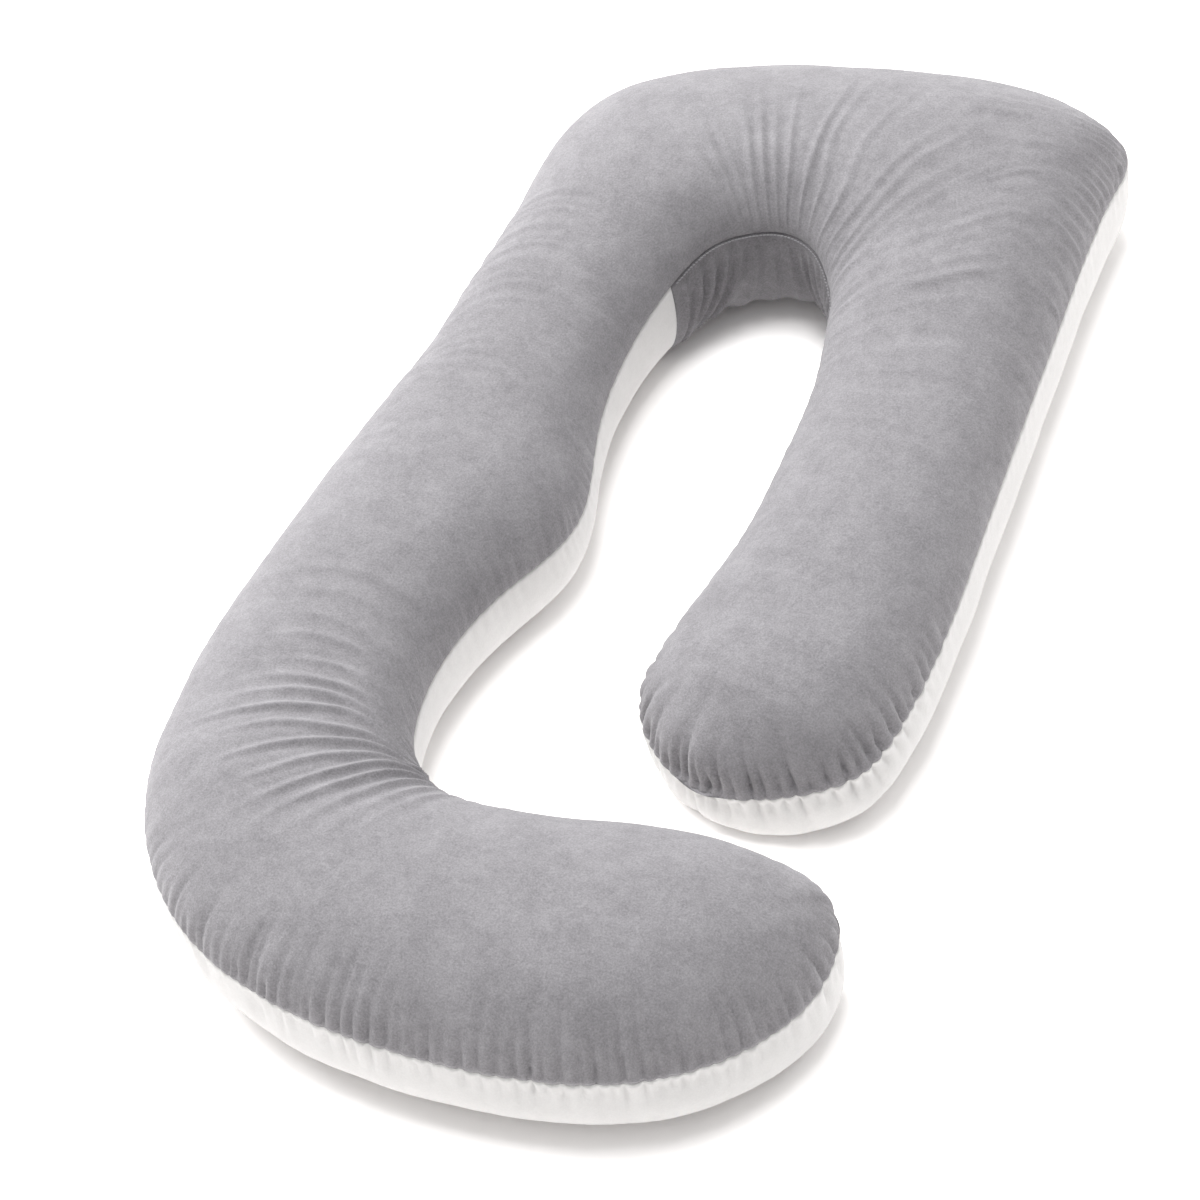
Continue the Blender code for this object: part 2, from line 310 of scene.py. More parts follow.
NECK_FAN = [
    Crease(13.00, 13.10, 13.20, 13.24, 0.30, 1.3, 7),
    Crease(14.30, 14.36, 14.42, 14.50, 0.00, 0.5, 8),
    Crease(14.75, 14.80, 14.84, 14.92, 0.00, 0.5, 8),
    Crease(15.10, 15.15, 15.20, 15.30, 0.05, 0.7, 7),
    Crease(15.50, 15.52, 15.55, 15.62, 0.10, 0.8, 6),
    Crease(15.86, 15.88, 15.92, 16.00, 0.15, 1.2, 5),
    Crease(16.12, 16.15, 16.21, 16.30, 0.30, 1.4, 4.5),
    Crease(16.38, 16.41, 16.44, 16.50, 0.25, 1.1, 4),
    Crease(16.62, 16.68, 16.78, 16.84, 0.35, 1.6, 4.5),
    Crease(16.90, 16.94, 16.99, 17.04, 0.45, 1.8, 4),
    Crease(17.18, 17.19, 17.20, 17.22, 0.40, 1.3, 4),
    Crease(17.46, 17.46, 17.44, 17.42, 0.45, 1.7, 4),
    Crease(17.92, 17.88, 17.83, 17.82, 0.50, 1.9, 4.5),
    Crease(18.40, 18.30, 18.09, 17.98, 0.55, 1.5, 5),
    Crease(19.00, 18.90, 18.60, 18.42, 0.50, 1.5, 5.5),
    Crease(19.55, 19.47, 19.27, 19.10, 0.40, 1.0, 6),
    Crease(20.10, 19.95, 19.60, 19.42, 0.40, 1.2, 6),
    Crease(20.45, 20.30, 20.08, 19.90, 0.10, 0.8, 7),
    Crease(20.90, 20.80, 20.60, 20.40, 0.10, 0.7, 7),
    Crease(20.85, 20.95, 21.25, 21.60, 0.50, 0.9, 7),
    Crease(22.05, 22.10, 22.18, 22.40, 0.80, 1.1, 8),
    Crease(22.75, 22.82, 22.88, 23.00, 0.30, 0.8, 8),
]
STATIONS_ACROSS = np.array((-0.9, -0.75, -0.5))

# Outside of the neck's far corner. These creases leave the outer seam square to it and drift towards
# the neck as they climb: seam is their rib number at the seam, drift is in ribs. Millimetres.
Climber = namedtuple("Climber", "seam drift start height width")
CORNER_FAN = [
    Climber(20.15, 2.60, 0.35, 2.0, 4.5),
    Climber(20.32, 2.50, 0.45, 3.4, 4.5),
    Climber(20.48, 2.35, 0.30, 3.0, 4.5),
    Climber(20.64, 2.25, 0.50, 3.6, 4.5),
    Climber(20.78, 2.10, 0.35, 2.6, 4.5),
    Climber(20.92, 2.05, 0.45, 3.6, 4.5),
    Climber(21.05, 1.90, 0.25, 2.8, 4.5),
    Climber(21.19, 1.85, 0.50, 3.2, 4.5),
    Climber(21.33, 1.70, 0.30, 2.4, 4.5),
    Climber(21.48, 1.65, 0.50, 3.0, 5),
    Climber(21.62, 1.50, 0.20, 2.2, 5),
    Climber(21.77, 1.45, 0.45, 2.4, 5),
    Climber(21.92, 1.30, 0.30, 1.7, 5),
    Climber(22.07, 1.25, 0.50, 2.1, 5),
    Climber(22.22, 1.15, 0.25, 1.4, 5),
    Climber(22.38, 1.10, 0.45, 1.6, 5.5),
    Climber(22.54, 1.00, 0.30, 1.2, 5.5),
    Climber(22.71, 0.90, 0.50, 1.2, 6),
    Climber(22.90, 0.80, 0.30, 0.9, 6),
    Climber(23.12, 0.70, 0.45, 0.9, 6),
    Climber(23.36, 0.60, 0.40, 0.7, 6),
]
TO_THE_SEAM = 3.0         # a stop beyond the seam: the crease doesn't fade before it

# Softer creases come in families of many alike. Each crosses the middle line between two ribs, a
# step apart, and bends away towards the inner seam and the outer seam by a sweep, in ribs. It
# shows from start to stop across the pillow. Heights and widths in millimetres.
Family = namedtuple("Family", "first last step inner_sweep outer_sweep start stop height width")
FAMILIES = [
    Family(0.8, 4.6, 0.42, 0.0, 0.0, -0.8, 0.7, 0.35, 12),
    Family(4.6, 9.2, 0.31, -0.2, 0.1, -0.1, 1.2, 0.35, 10),      # outside of the hook's bend
    Family(8.9, 12.4, 0.21, -0.5, -0.1, -1.1, 0.6, 0.60, 7),     # the long arm
    Family(9.6, 12.2, 0.27, 0.0, -0.1, 0.0, 1.3, 0.50, 8),
    Family(12.2, 14.4, 0.16, 0.0, -0.5, -0.1, 1.8, 0.90, 5),     # where it turns into the neck
    Family(12.6, 13.6, 0.21, -0.1, 0.0, -1.0, 0.2, 0.7, 6),
    Family(14.4, 19.2, 0.22, 0.0, 0.0, -0.2, 1.2, 0.30, 9),
    Family(20.0, 22.6, 0.21, 0.0, 1.5, 0.1, 1.4, 0.50, 6),
    Family(19.9, 21.6, 0.25, 0.5, 1.6, -1.1, 0.9, 0.40, 8),      # arcs right across the short arm
    Family(21.6, 24.4, 0.29, -0.2, 0.6, -1.1, 1.2, 0.50, 7),
    Family(24.4, 27.8, 0.27, -0.1, 0.3, -1.0, 1.3, 0.40, 8),     # the rest of the short arm
]


APPEARS = (-0.2, 0.25)    # a crease rises between these places across, counted from its start
FADES = (-0.95, 0.2)      # and dies away between these, counted from its stop
NARROWEST = 0.42          # share of its width that is left at the inner seam, where creases crowd
NARROWS_FROM = -0.55      # place across from which they narrow towards that seam
RIDGE_ROUNDNESS = 1.6     # power of its cross-section: 1 is a sharp ridge, 2 a round one
VALLEY_DEPTH = 0.3        # depth of the valleys beside it, as a share of its height
VALLEY_OFF = 1.8          # how many widths to its side they lie


def crease_height(numbers, across, distance, path, start, stop, height, width):
    """Height of one crease over a grid of sections, and the rows of it that the crease touches.

    path gives the crease's rib number at each place across. Its ridge narrows towards the inner seam
    and has a shallow valley along each side.
    """
    line = path(across)
    rows = slice(*np.searchsorted(numbers, (line.min() - 0.5, line.max() + 0.5)))
    apart = distance(numbers[rows, None] - line[None], rows)
    shown = soft_step(across, start + APPEARS[0], start + APPEARS[1])
    shown *= 1 - soft_step(across, stop + FADES[0], stop + FADES[1])
    wide = NARROWEST + (1 - NARROWEST) * soft_step(across, -1.0, NARROWS_FROM)
    off = abs(apart) / (0.001 * width * wide)
    ridge = np.exp(-off ** RIDGE_ROUNDNESS) - VALLEY_DEPTH * np.exp(-(off - VALLEY_OFF) ** 2)
    return 0.001 * height * shown * ridge, rows


def through_stations(crease):
    """The smooth path through a crease's four places, straight across from the middle line on."""
    powers = np.array((2, 3, 4))
    offsets = np.array((crease.near, crease.bend, crease.half)) - crease.middle
    shares = np.linalg.solve(abs(STATIONS_ACROSS[:, None]) ** powers, offsets)

    def path(across):
        return crease.middle + (np.clip(-across, 0, 1)[:, None] ** powers) @ shares

    return path


def climbing(crease):
    """The path of a crease that leaves the outer seam square to it and drifts as it climbs."""
    def path(across):
        return crease.seam - crease.drift * np.clip(1 - across, 0, 1) ** 1.3

    return path


def swept(number, inner_sweep, outer_sweep):
    """The path of one of a family's creases."""
    def path(across):
        inner = inner_sweep * np.clip(-across, 0, 1) ** 1.6
        return number + inner + outer_sweep * np.clip(across, 0, 1) ** 2.3

    return path


def creases(numbers, across, points):
    """Height of all creases over a grid of sections."""
    height = np.zeros(points.shape[:2])
    distance = distance_maker(points)
    for crease in HOOK_FAN + NECK_FAN:
        ridge, rows = crease_height(numbers, across, distance, through_stations(crease), -1.0,
                                    crease.stop, crease.height, crease.width)
        height[rows] += ridge
    for climber in CORNER_FAN:
        ridge, rows = crease_height(numbers, across, distance, climbing(climber), climber.start,
                                    TO_THE_SEAM, climber.height, climber.width)
        height[rows] += ridge
    for family in FAMILIES:
        for number in np.arange(family.first, family.last, family.step):
            path = swept(number + random.uniform(-0.3, 0.3) * family.step,
                         family.inner_sweep * random.uniform(0.8, 1.2),
                         family.outer_sweep * random.uniform(0.9, 1.1))
            start = family.start + random.uniform(-0.1, 0.3)
            stop = family.stop + random.uniform(-0.25, 0.15)
            ridge, rows = crease_height(numbers, across, distance, path, start, stop,
                                        family.height * random.uniform(0.4, 1.5),
                                        family.width * random.uniform(0.7, 1.3))
            height[rows] += ridge
    return height


def distance_maker(points):
    """Makes the function that turns a field over rows of a grid into distance from its zero line."""
    down = np.gradient(points, axis=0)
    along = np.gradient(points, axis=1)
    down2 = (down * down).sum(-1)
    along2 = (along * along).sum(-1)
    mixed = (down * along).sum(-1)
    area2 = np.maximum(down2 * along2 - mixed ** 2, 1e-18)

    def distance(field, rows):
        rise_down = np.gradient(field, axis=0)
        rise_along = np.gradient(field, axis=1)
        slope2 = along2[rows] * rise_down ** 2 - 2 * mixed[rows] * rise_down * rise_along
        slope2 += down2[rows] * rise_along ** 2
        return field / np.sqrt(np.maximum(slope2 / area2[rows], 1e-12))

    return distance


def outward(points, up):
    """Unit normals of a grid of points, on the side where up says that they point up or down."""
    normals = np.cross(np.gradient(points, axis=0), np.gradient(points, axis=1))
    normals /= np.maximum(np.linalg.norm(normals, axis=-1), 1e-12)[..., None]
    middle = normals[:, normals.shape[1] // 2, 2]
    return normals * np.sign(middle.sum()) * (1 if up else -1)


WAVES = 28                # waves in every direction that add up to the filling's unevenness


def uneven(points, size, seed):
    """A smooth random field from about -1 to 1 whose lumps are about size metres across."""
    waves = np.random.default_rng(seed)
    field = np.zeros(points.shape[:-1])
    for _ in range(WAVES):
        direction = waves.normal(size=3)
        direction *= 2 * np.pi / (size * waves.uniform(1.2, 3.0)) / np.linalg.norm(direction)
        field += np.cos(points @ direction + waves.uniform(0, 2 * np.pi))
    return field * (2 / WAVES) ** 0.5 * 0.8


def mesh_object(name, points, faces):
    """A smooth object with these points and faces, turned to face outwards."""
    data = bpy.data.meshes.new(name)
    data.from_pydata(points, [], faces)
    data.validate()
    data.update()
    if sum(face.center.dot(face.normal) * face.area for face in data.polygons) < 0:
        data.flip_normals()
    data.shade_smooth()
    piece = bpy.data.objects.new(name, data)
    bpy.context.collection.objects.link(piece)
    return piece


def closed_mesh(name, rows, first_tip=None, last_tip=None):
    """One closed mesh through rings of points round a piece.

    Each end closes in a fan to its tip, or without one in a flat strip from side to side of its ring.
    """
    count, around = rows.shape[:2]
    corner = np.arange(count * around).reshape(count, around)
    beside = np.roll(corner, -1, axis=1)
    quads = np.stack([corner[:-1], corner[1:], beside[1:], beside[:-1]], axis=-1).reshape(-1, 4).tolist()
    points = rows.reshape(-1, 3).tolist()
    for ring, tip, turned in ((0, first_tip, False), (count - 1, last_tip, True)):
        loop = corner[ring].tolist()
        if tip is None:
            half = around // 2
            faces = [(loop[k], loop[k + 1], loop[-2 - k], loop[-1 - k]) for k in range(half - 1)]
            if around % 2:
                faces.append((loop[half - 1], loop[half], loop[half + 1]))
        else:
            points.append(tuple(tip))
            faces = [(loop[k], loop[(k + 1) % around], len(points) - 1) for k in range(around)]
        quads += [face[::-1] if turned else face for face in faces]
    return mesh_object(name, points, quads)


TOP_SECTIONS = 1250
DENSER = ((5.4, 9.0, 1.35), (19.5, 24.0, 1.25), (27.0, 29.0, 1.1))   # first and last rib, how many times
CROWN_STEPS = 72
CROWN_CROWDING = 1.2      # more than 1 sets the steps closer near the inner seam, where creases narrow
PARTING_ACROSS = np.array((0.6, 0.1, -0.4, -0.82))   # where the two panels' fillings meet inside
LUMP_SIZE = 0.075         # the filling's unevenness
LUMP_HEIGHT = 0.0007
BEND_NUMBER = 7.1         # the middle of the hook's bend, where cloth and filling are pushed together
BUNCH_RIBS = 1.2
BUNCH_RISE = 0.008        # how much fuller they make the crown near the inner seam
BUNCH_ACROSS = 0.76
BUNCH_WIDTH = 0.20
SEAM_EDGE = 0.02          # within this of the seam the cloth turns to face out of it and lies smooth

top_numbers = even_sections(TOP_SECTIONS, DENSER)
top_angles = np.pi * (1 - np.linspace(0, 1, CROWN_STEPS + 1) ** CROWN_CROWDING)
crown, top_across = crown_rows(top_numbers, top_angles)
bunched = np.exp(-((top_numbers - BEND_NUMBER) / BUNCH_RIBS) ** 2)[:, None]
crown[..., 2] += BUNCH_RISE * bunched * np.exp(-((top_across + BUNCH_ACROSS) / BUNCH_WIDTH) ** 2)
swell = LUMP_HEIGHT * uneven(crown, LUMP_SIZE, 3) + creases(top_numbers, top_across, crown)


def sewn(points, swell, up, share):
    """The grid moved out by swell, and drawn in along the side seam with its gathers.

    up says which way it faces, and share how long its gathers are beside the top panel's.
    """
    steps, distances = nearest_seam(points.reshape(-1, 3))
    places = seam_places[steps]
    moved = swell.ravel() * soft_step(distances, 0, SEAM_EDGE)
    moved -= gathered(places, distances, share)
    moved -= SEAM_DIP * np.exp(-(distances / SEAM_DIP_WIDTH) ** 1.3)
    turn = soft_step(distances, 0, SEAM_EDGE)[:, None]
    normals = outward(points, up).reshape(-1, 3) * turn + seam_out[steps] * (1 - turn)
    normals /= np.maximum(np.linalg.norm(normals, axis=1), 1e-9)[:, None]
    return (points.reshape(-1, 3) + normals * moved[:, None]).reshape(points.shape)


def parting_rows(numbers, lift):
    """Where the two panels' fillings meet, a little above or below the seam's height."""
    outer, inner, _ = rails(numbers)
    across = np.broadcast_to(PARTING_ACROSS, (len(numbers), len(PARTING_ACROSS)))
    rows = across_points(outer, inner, across)
    rows[..., 2] += lift
    return rows


crown = sewn(crown, swell, True, 1.0)
crown[..., 2] += PANEL_GAP / 2
top_rows = np.concatenate([crown, parting_rows(top_numbers, PANEL_GAP / 2)], axis=1)
tip_dip = (SEAM_DIP * seam_out[0], SEAM_DIP * seam_out[SEAM_STEPS // 2])
tip_lift = np.array((0, 0, PANEL_GAP / 2))
top_panel = closed_mesh("grey_top_panel", top_rows, SEAM(0.0) - tip_dip[0] + tip_lift,
                        SEAM(float(LAST)) - tip_dip[1] + tip_lift)


def linear(hex_colour):
    """An sRGB hex colour as linear red, green, blue and a full alpha."""
    parts = [int(hex_colour[k:k + 2], 16) / 255 for k in (1, 3, 5)]
    return tuple(c / 12.92 if c <= 0.04045 else ((c + 0.055) / 1.055) ** 2.4 for c in parts) + (1.0,)


def add_node(tree, kind, settings={}, links={}):
    """Adds one shader node, sets its properties and sockets, and links other nodes' sockets to it."""
    node = tree.nodes.new("ShaderNode" + kind)
    for name, value in settings.items():
        if isinstance(name, str) and hasattr(node, name):
            setattr(node, name, value)
        else:
            node.inputs[name].default_value = value
    for name, socket in links.items():
        tree.links.new(socket, node.inputs[name])
    return node


MIX_A, MIX_B, MIX_RESULT = 6, 7, 2   # sockets of a Mix node that mixes colours


CLOUDS = 0.040            # sizes of the velour's patches, streaks and grain
STREAKS = 0.010
GRAIN = 0.0021
CLOUD_SHARE = 0.8         # how much each shows beside the others
STREAK_SHARE = 0.5
SHADE_RANGE = 0.45        # how far the mix strays either way before it is wholly dark or light


def velour(name, dark, light, sheen, grain_share):
    """Short-pile polyester velour: knitted, sheared and brushed.

    The pile is under 2 mm deep. It drinks light when it is looked into, and its tips catch light along
    the edges, which the sheen gives. Brushing lays it in cloudy patches of 40 mm and in streaks of
    10 mm. The single tufts are finer than can be seen, so the grain is drawn at 2.1 mm.
    """
    material = bpy.data.materials.new(name)
    material.use_nodes = True
    tree = material.node_tree
    shader = tree.nodes["Principled BSDF"]
    place = {"Vector": add_node(tree, "TexCoord").outputs["Object"]}
    clouds = add_node(tree, "TexNoise", {"Scale": 1 / CLOUDS, "Detail": 3.0, "Roughness": 0.55}, place)
    streaks = add_node(tree, "TexNoise", {"Scale": 1 / STREAKS, "Detail": 3.0, "Distortion": 0.6}, place)
    grain = add_node(tree, "TexNoise", {"Scale": 1 / GRAIN, "Detail": 3.0, "Roughness": 0.65}, place)
    mixed = add_node(tree, "Math", {"operation": "MULTIPLY", 1: STREAK_SHARE}, {0: streaks.outputs[0]})
    for texture, texture_share in ((clouds, CLOUD_SHARE), (grain, grain_share)):
        mixed = add_node(tree, "Math", {"operation": "MULTIPLY_ADD", 1: texture_share},
                         {0: texture.outputs[0], 2: mixed.outputs[0]})
    middle = (CLOUD_SHARE + STREAK_SHARE + grain_share) / 2
    shade = add_node(tree, "MapRange", {"From Min": middle - SHADE_RANGE, "From Max": middle + SHADE_RANGE},
                     {"Value": mixed.outputs[0]})
    colour = add_node(tree, "Mix", {"data_type": "RGBA", MIX_A: linear(dark), MIX_B: linear(light)},
                      {"Factor": shade.outputs["Result"]})
    bump = add_node(tree, "Bump", {"Strength": 0.4, "Distance": 0.0010}, {"Height": mixed.outputs[0]})
    tree.links.new(colour.outputs[MIX_RESULT], shader.inputs["Base Color"])
    tree.links.new(bump.outputs["Normal"], shader.inputs["Normal"])
    shader.inputs["Roughness"].default_value = 0.92
    shader.inputs["Specular IOR Level"].default_value = 0.2
    shader.inputs["Sheen Weight"].default_value = sheen
    shader.inputs["Sheen Roughness"].default_value = 0.45
    shader.inputs["Sheen Tint"].default_value = linear("#F4F4F6")
    return material


top_panel.data.materials.append(velour("grey_velour", "#7B797C", "#9A989B", 0.20, 1.8))
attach(top_panel, "root")
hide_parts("top_panel")


# ---------------------------------------------------------------------------------------------
# Bottom panel.
# White velour, one piece. It drops from the side seam as the pillow's white wall, turns under and
# lies flat. It is sewn face to face with the top panel, so the same gathers run on into it.
UNDERSIDE_ACROSS = 0.48   # powers of the cosine and sine, where 1 is an ellipse
UNDERSIDE_DOWN = 0.60
UNDERSIDE_SAG = 1.03      # the weight presses it flat beyond this share of its depth
FOOT_LIMIT = 0.998        # sine of the steepest foot, so that the resting face keeps some width
RESTING_HALF_WIDTH = 0.09  # a narrower stretch, near the two ends, lifts off the floor
LIFT_POWER = 0.35
LIFT_SOFTNESS = 4         # how suddenly the lift begins
GUSSET_FIRST = 14         # rib numbers of the gusset's two upright end seams
GUSSET_LAST = 22
GUSSET_DEPTH = 0.015      # how far the gusset's share of the filling reaches into the pillow
GUSSET_END_STEP = 0.012   # in ribs: about half a millimetre of clearance at its end seams
BOTTOM_SECTIONS = 900
WALL_STEPS = 26
WALL_CROWDING = 1.5       # more than 1 sets the steps closer near the seam
REST_STEPS = 8
WALL_LUMP_SIZE = 0.06
WALL_LUMP_HEIGHT = 0.0008
WALL_GATHERS = 0.75       # length of the wall's gathers beside the top panel's
FLOOR_TOUCH = 0.004       # cloth below this lies on the floor and isn't moved
FLOOR_CLEARANCE = 0.0005  # the rest stays at least this far above it


def underside_rows(numbers, inset):
    """Points under the pillow, a row for each section: inner wall, resting face and outer wall.

    inset sets the inner wall back, and is given for each section.
    """
    outer, inner, half_width = rails(numbers)
    lift = (1 + (RESTING_HALF_WIDTH / half_width) ** LIFT_SOFTNESS) ** (-LIFT_POWER / LIFT_SOFTNESS)
    sink = UNDERSIDE_SAG * lift
    foot = np.arcsin(np.minimum(FOOT_LIMIT, sink ** (-1 / UNDERSIDE_DOWN)))[:, None]
    down = foot * (np.linspace(0, 1, WALL_STEPS + 1)[None] ** WALL_CROWDING)
    rest = foot + (np.pi - 2 * foot) * np.linspace(0, 1, REST_STEPS + 1)[None, 1:-1]
    angle = np.concatenate([np.pi - down, np.pi - rest, down[:, ::-1]], axis=1)
    across = np.sign(np.cos(angle)) * abs(np.cos(angle)) ** UNDERSIDE_ACROSS
    across = np.where(across < 0, across * (1 - (inset / half_width)[:, None]), across)
    points = across_points(outer, inner, across)
    points[..., 2] *= np.maximum(0, 1 - sink[:, None] * abs(np.sin(angle)) ** UNDERSIDE_DOWN)
    return points


end_seams = [GUSSET_FIRST - GUSSET_END_STEP * step for step in (1, 2)]
end_seams += [GUSSET_LAST + GUSSET_END_STEP * step for step in (1, 2)]
bottom_numbers = np.sort(np.concatenate([even_sections(BOTTOM_SECTIONS), end_seams]))
beside_gusset = abs(bottom_numbers - (GUSSET_FIRST + GUSSET_LAST) / 2)
beside_gusset = beside_gusset < (GUSSET_LAST - GUSSET_FIRST) / 2 + 1.5 * GUSSET_END_STEP
wall = underside_rows(bottom_numbers, np.where(beside_gusset, GUSSET_DEPTH + PANEL_GAP, 0.0))
resting = wall[..., 2].copy()
wall = sewn(wall, WALL_LUMP_HEIGHT * uneven(wall, WALL_LUMP_SIZE, 5), False, WALL_GATHERS)
wall[..., 2] = np.where(resting < FLOOR_TOUCH, resting, np.maximum(wall[..., 2], FLOOR_CLEARANCE))
wall[..., 2] -= np.minimum(PANEL_GAP / 2, wall[..., 2])
bottom_rows = np.concatenate([wall, parting_rows(bottom_numbers, -PANEL_GAP / 2)], axis=1)
bottom_rows = np.roll(bottom_rows, len(PARTING_ACROSS) // 2, axis=1)
bottom_panel = closed_mesh("white_bottom_panel", bottom_rows)
bottom_panel.data.materials.append(velour("white_velour", "#D7D6D5", "#E2E1E0", 0.10, 1.2))
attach(bottom_panel, "root")
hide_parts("bottom_panel")


# ---------------------------------------------------------------------------------------------
# Neck gusset.
# An upright strip of grey velour in the inner wall of the neck, sewn to the top panel along its
# upper edge and to the white panel at both ends and its foot. Spare cloth hangs in upright folds.
GUSSET_SECTIONS = 620
GUSSET_GATHERS = 0.6      # length of its gathers beside the top panel's
gusset_numbers = np.linspace(GUSSET_FIRST, GUSSET_LAST, GUSSET_SECTIONS)
no_inset = np.zeros(GUSSET_SECTIONS)
front = underside_rows(gusset_numbers, no_inset)[:, :WALL_STEPS + 1]
back = underside_rows(gusset_numbers, no_inset + GUSSET_DEPTH)[:, :WALL_STEPS + 1]
drop = 1 - front[..., 2] / front[:, :1, 2]
steps = np.searchsorted(seam_numbers, 2 * LAST - gusset_numbers)
gusset_places = np.repeat(seam_places[steps][:, None], WALL_STEPS + 1, axis=1)
gusset_out = seam_out[steps][:, None]
below = front[:, :1, 2] - front[..., 2]

# Folds of the gusset: where each leaves the seam above, how far its foot is swept towards the
# short arm (in metres), and its height and width in millimetres. They fan out to both ends.
Fold = namedtuple("Fold", "number sweep height width")
GUSSET_FOLDS = [
    Fold(14.30, -0.020, 6.0, 4.0), Fold(14.70, -0.034, 8.0, 4.0), Fold(15.15, -0.052, 10.0, 4.5),
    Fold(15.60, -0.056, 9.0, 4.5), Fold(16.00, -0.044, 6.0, 4.5), Fold(16.45, -0.024, 4.0, 4.5),
    Fold(16.90, -0.008, 3.0, 4.5), Fold(17.40, 0.004, 3.0, 4.5), Fold(17.90, 0.030, 7.0, 4.5),
    Fold(18.30, 0.060, 11.0, 5.0), Fold(18.70, 0.078, 12.0, 5.0), Fold(19.15, 0.066, 10.0, 4.5),
    Fold(19.55, 0.054, 11.0, 4.0), Fold(19.95, 0.042, 10.0, 4.0), Fold(20.40, 0.032, 9.0, 4.0),
    Fold(20.85, 0.022, 8.0, 4.0), Fold(21.35, 0.012, 6.0, 4.0),
]
FOLD_SWEEPING = 1.6       # power: a fold leaves the seam straight down and sweeps off lower down
FOLD_FLARE = 0.5          # how much wider it is at its foot, as a share of its width
FOLD_APPEARS = (0.02, 0.35)   # it rises between these shares of the way down
FOLD_FADES = (0.8, 1.0)   # and flattens between these
FOLD_FLATTENED = 0.6      # by this share of its height
FOLD_ROUNDNESS = 1.5      # power of its cross-section, as for the creases
FOLD_VALLEYS = 0.35       # depth of the valleys beside it, as a share of its height

fold_swell = np.zeros(front.shape[:2])
for fold in GUSSET_FOLDS:
    centre = np.interp(2 * LAST - fold.number, seam_numbers, seam_places) - fold.sweep * drop ** FOLD_SWEEPING
    off = abs(gusset_places - centre) / (0.001 * fold.width * (1 + FOLD_FLARE * drop))
    shown = soft_step(drop, *FOLD_APPEARS) * (1 - FOLD_FLATTENED * soft_step(drop, *FOLD_FADES))
    ridge = np.exp(-off ** FOLD_ROUNDNESS) - FOLD_VALLEYS * np.exp(-(off - VALLEY_OFF) ** 2)
    fold_swell += 0.001 * fold.height * shown * ridge
dip = SEAM_DIP * np.exp(-(below / SEAM_DIP_WIDTH) ** 1.3)
dip += gathered(gusset_places.ravel(), below.ravel(), GUSSET_GATHERS).reshape(drop.shape)
front += gusset_out * (fold_swell - dip)[..., None]
front[..., 2] -= np.minimum(PANEL_GAP / 2, front[..., 2])
back[..., 2] -= np.minimum(PANEL_GAP / 2, back[..., 2])
gusset_rows = np.concatenate([back, front[:, ::-1]], axis=1)
neck_gusset = closed_mesh("grey_neck_gusset", gusset_rows)
neck_gusset.data.materials.append(velour("grey_gusset_velour", "#6D6B6E", "#8E8C8F", 0.20, 1.8))
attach(neck_gusset, "root")
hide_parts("neck_gusset")


# ---------------------------------------------------------------------------------------------
# Edge stitching of the neck.
# The gusset's upper seam is turned down and stitched once more along its edge, in polyester thread.
# The stitches are short and even, and stand just proud of the pile.
STITCH_PITCH = 0.0040
STITCH_LENGTH = 0.0037
STITCH_RADIUS = 0.00075
STITCH_DROP = 0.0017      # below the seam
STITCH_OUT = 0.0008       # how far its middle stands out of the seam's line
STITCH_SIDES = 8
STITCH_RINGS = 7
TWIST_SCALE = 400.0       # sets the twist of the thread's plies finer than a millimetre

UPRIGHT = np.array((0, 0, 1))


def stitch_points(middle, along, outside):
    """Rings of points round one stitch, a short bar with rounded ends."""
    for ring in range(STITCH_RINGS):
        turn = np.pi * (ring + 0.5) / STITCH_RINGS
        centre = middle - along * STITCH_LENGTH / 2 * np.cos(turn)
        for side in range(STITCH_SIDES):
            angle = 2 * np.pi * side / STITCH_SIDES
            spoke = np.cos(angle) * outside + np.sin(angle) * UPRIGHT
            yield tuple(centre + spoke * STITCH_RADIUS * np.sin(turn) ** 0.5)


def stitch_faces(base):
    """Faces of one stitch whose points start at number base: its sides, then its two ends."""
    for ring in range(STITCH_RINGS - 1):
        for side in range(STITCH_SIDES):
            here = base + ring * STITCH_SIDES + side
            beside = base + ring * STITCH_SIDES + (side + 1) % STITCH_SIDES
            yield (here, beside, beside + STITCH_SIDES, here + STITCH_SIDES)
    yield tuple(range(base, base + STITCH_SIDES))[::-1]
    last_ring = base + (STITCH_RINGS - 1) * STITCH_SIDES
    yield tuple(range(last_ring, last_ring + STITCH_SIDES))


first_place = np.interp(2 * LAST - GUSSET_LAST, seam_numbers, seam_places)
last_place = np.interp(2 * LAST - GUSSET_FIRST, seam_numbers, seam_places)
all_points = []
all_faces = []
for place in np.arange(first_place + STITCH_PITCH, last_place - STITCH_PITCH, STITCH_PITCH):
    step = int(np.searchsorted(seam_places, place))
    outside = seam_out[step]
    climb = (seam_line[step + 1] - seam_line[step - 1])[2] / seam_gaps[step] / 2
    along = np.array((-outside[1], outside[0], climb))
    middle = seam_line[step] + outside * STITCH_OUT - UPRIGHT * STITCH_DROP
    all_faces += stitch_faces(len(all_points))
    all_points += stitch_points(middle, along, outside)
neck_stitches = mesh_object("neck_stitches", all_points, all_faces)

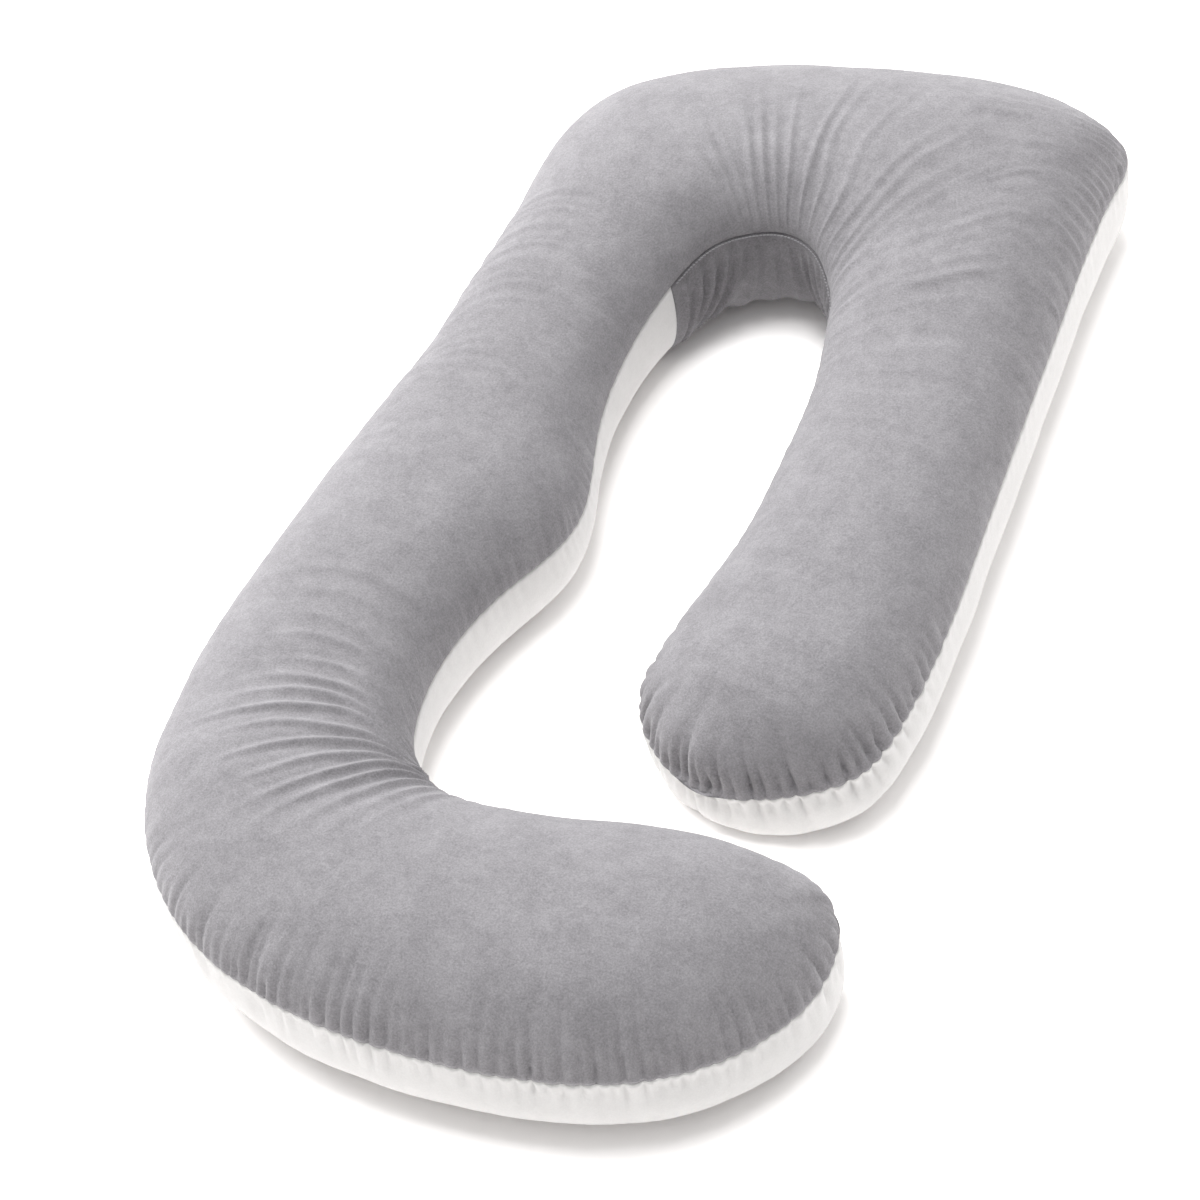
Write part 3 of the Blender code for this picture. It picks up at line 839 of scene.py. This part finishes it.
# Spun thread: its plies show as a faint twist of lighter and darker grey.
thread = bpy.data.materials.new("grey_thread")
thread.use_nodes = True
thread_tree = thread.node_tree
thread_shader = thread_tree.nodes["Principled BSDF"]
thread_place = {"Vector": add_node(thread_tree, "TexCoord").outputs["Object"]}
twist = add_node(thread_tree, "TexWave", {"Scale": TWIST_SCALE, "Distortion": 1.0}, thread_place)
plies = {"data_type": "RGBA", MIX_A: linear("#868588"), MIX_B: linear("#A8A7AA")}
ply = add_node(thread_tree, "Mix", plies, {"Factor": twist.outputs[1]})
thread_tree.links.new(ply.outputs[MIX_RESULT], thread_shader.inputs["Base Color"])
thread_shader.inputs["Roughness"].default_value = 0.55
neck_stitches.data.materials.append(thread)
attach(neck_stitches, "root")


# ---------------------------------------------------------------------------------------------
# Studio.
# A white paper floor in a white surround, lit by four soft boxes: low ones behind on both sides, a high
# one on the left, and one overhead.
FLOOR_HALF = 6.0
FLOOR_BELOW = 0.0004      # the floor's gap under the pillow
floor_sides = ((-1, -1), (1, -1), (1, 1), (-1, 1))
floor_corners = [(x * FLOOR_HALF, y * FLOOR_HALF, -FLOOR_BELOW) for x, y in floor_sides]
floor_data = bpy.data.meshes.new("floor")
floor_data.from_pydata(floor_corners, [], [(0, 1, 2, 3)])
floor = bpy.data.objects.new("floor", floor_data)
bpy.context.collection.objects.link(floor)

# Matt white paper with painted light: it glows though it is no lamp, and an ambient-occlusion mask dims the
# glow where the pillow shuts it in, which paints a contact shadow round the pillow.
paper = bpy.data.materials.new("white_paper_painted_glow")
paper.use_nodes = True
paper_shader = paper.node_tree.nodes["Principled BSDF"]
paper_shader.inputs["Base Color"].default_value = linear("#FBF9F8")
paper_shader.inputs["Roughness"].default_value = 0.95
paper_shader.inputs["Specular IOR Level"].default_value = 0.1
paper_shader.inputs["Emission Color"].default_value = linear("#FFFDFC")
# Painted contact shadow: the occlusion near the pillow weakens the floor's painted glow.
painted_shadow_mask = add_node(paper.node_tree, "AmbientOcclusion", {"samples": 8, "Distance": 0.055})
painted_glow = add_node(paper.node_tree, "Math", {"operation": "POWER", 1: 1.9}, {0: painted_shadow_mask.outputs["AO"]})
painted_glow = add_node(paper.node_tree, "Math", {"operation": "MULTIPLY", 1: 0.60}, {0: painted_glow.outputs[0]})
paper.node_tree.links.new(painted_glow.outputs[0], paper_shader.inputs["Emission Strength"])
floor_data.materials.append(paper)

scene = bpy.context.scene
scene.view_settings.view_transform = "Standard"
world = bpy.data.worlds.new("studio")
world.use_nodes = True
world.node_tree.nodes["Background"].inputs["Color"].default_value = (1, 1, 1, 1)
world.node_tree.nodes["Background"].inputs["Strength"].default_value = 0.35
scene.world = world


BOX_SIZE = 3.0


def soft_box(name, place, power):
    """A square soft box that faces the middle of the floor."""
    light = bpy.data.lights.new(name, "AREA")
    light.size = BOX_SIZE
    light.energy = power
    lamp = bpy.data.objects.new(name, light)
    lamp.location = place
    lamp.rotation_mode = "QUATERNION"
    lamp.rotation_quaternion = (-Vector(place)).to_track_quat("-Z", "Y")
    bpy.context.collection.objects.link(lamp)


soft_box("low_behind_left", (-6.47, 3.63, 3.0), 620)
soft_box("high_left", (-5.14, -0.06, 6.13), 265)
soft_box("low_behind_right", (3.63, 6.47, 3.0), 160)
soft_box("overhead", (0, 0.01, 8), 375)

# Camera: a long lens, high over the hook and turned a little to its side, held at a slant.
CAMERA_AZIMUTH = np.radians(30.7)
CAMERA_ELEVATION = np.radians(48.0)
CAMERA_DISTANCE = 5.11
CAMERA_TARGET = np.array((-0.029, -0.089, 0.08))
CAMERA_ROLL = np.radians(-10.9)
CAMERA_LENS = 144.0
toward = np.array((np.sin(CAMERA_AZIMUTH) * np.cos(CAMERA_ELEVATION),
                   -np.cos(CAMERA_AZIMUTH) * np.cos(CAMERA_ELEVATION), np.sin(CAMERA_ELEVATION)))
level = np.cross((0, 0, 1), toward)
level /= np.linalg.norm(level)
upright = np.cross(toward, level)
right = np.cos(CAMERA_ROLL) * level + np.sin(CAMERA_ROLL) * upright
above = -np.sin(CAMERA_ROLL) * level + np.cos(CAMERA_ROLL) * upright
camera_data = bpy.data.cameras.new("camera")
camera_data.lens = CAMERA_LENS
camera = bpy.data.objects.new("camera", camera_data)
bpy.context.collection.objects.link(camera)
axes = Matrix(np.stack([right, above, toward], axis=1).tolist()).to_4x4()
camera.matrix_world = Matrix.Translation(Vector(CAMERA_TARGET + toward * CAMERA_DISTANCE)) @ axes
scene.camera = camera
